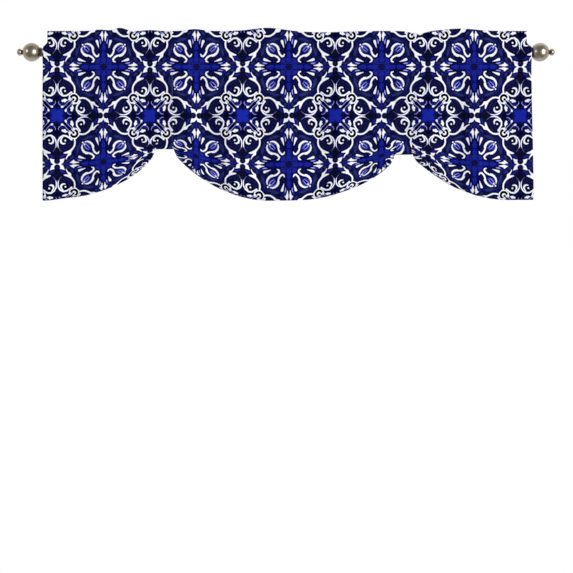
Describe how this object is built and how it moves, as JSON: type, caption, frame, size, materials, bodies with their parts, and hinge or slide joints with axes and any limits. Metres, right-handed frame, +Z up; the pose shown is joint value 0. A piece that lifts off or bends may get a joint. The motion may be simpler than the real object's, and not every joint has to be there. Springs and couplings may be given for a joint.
{
  "type": "tie-up valance on a curtain rod",
  "caption": "Printed valance panel on a round rod with ball finials, its lower edge turned under and drawn up by cloth ties into curved swags.",
  "frame": {"origin": "on the rod's axis, halfway along the rod", "axes": "+X along the rod to the viewer's right, +Z up, -Y towards the room"},
  "size_m": [1.453, 0.0498, 0.4674],
  "materials": {
    "printed_cloth": "smooth woven polyester with a navy, blue and white print",
    "rod_metal": "satin pewter plating"
  },
  "bodies": {
    "root": {"panel": "printed_cloth", "tie_left": "printed_cloth", "tie_right": "printed_cloth", "rod": "rod_metal", "finial_left": "rod_metal", "finial_right": "rod_metal"}
  },
  "joints": []
}
